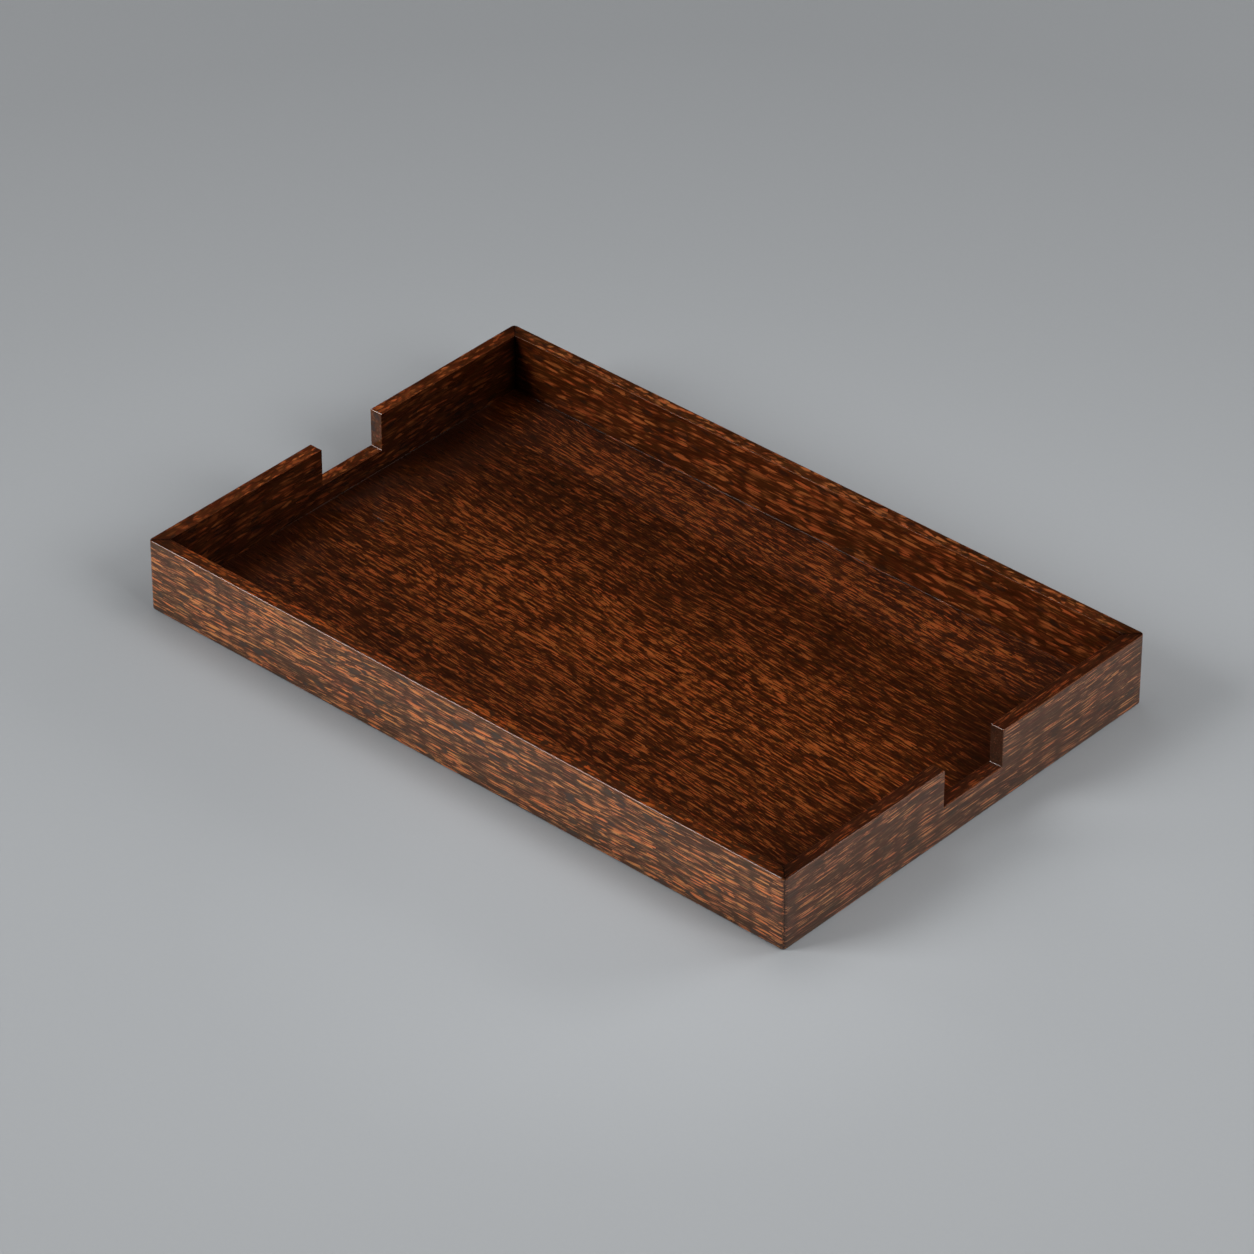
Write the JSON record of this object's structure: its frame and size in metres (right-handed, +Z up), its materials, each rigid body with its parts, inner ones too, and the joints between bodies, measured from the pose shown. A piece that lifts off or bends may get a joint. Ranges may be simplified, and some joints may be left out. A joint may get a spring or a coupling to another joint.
{
  "type": "wooden tray",
  "caption": "Rectangular open tray of dark palmwood with straight mitred walls, a flat floor and a square finger notch in the rim of each end wall.",
  "frame": {"origin": "middle of the tray's outline, on the surface that it stands on", "axes": "+X along the long side towards the right end wall, +Y towards the back wall, +Z up"},
  "size_m": [0.5, 0.32, 0.05],
  "materials": {
    "palmwood_wall": "clear lacquer, satin",
    "palmwood_floor": "clear lacquer, satin",
    "palmwood_underside": "thin lacquer, matt",
    "plywood": "raw",
    "hardwood": "raw"
  },
  "bodies": {
    "root": {"front_wall": "palmwood_wall", "back_wall": "palmwood_wall", "left_end_wall": "palmwood_wall", "right_end_wall": "palmwood_wall", "floor_veneer": "palmwood_floor", "base_core": "plywood", "underside_veneer": "palmwood_underside", "corner_spline_front_left": "hardwood", "corner_spline_front_right": "hardwood", "corner_spline_back_left": "hardwood", "corner_spline_back_right": "hardwood"}
  },
  "joints": []
}
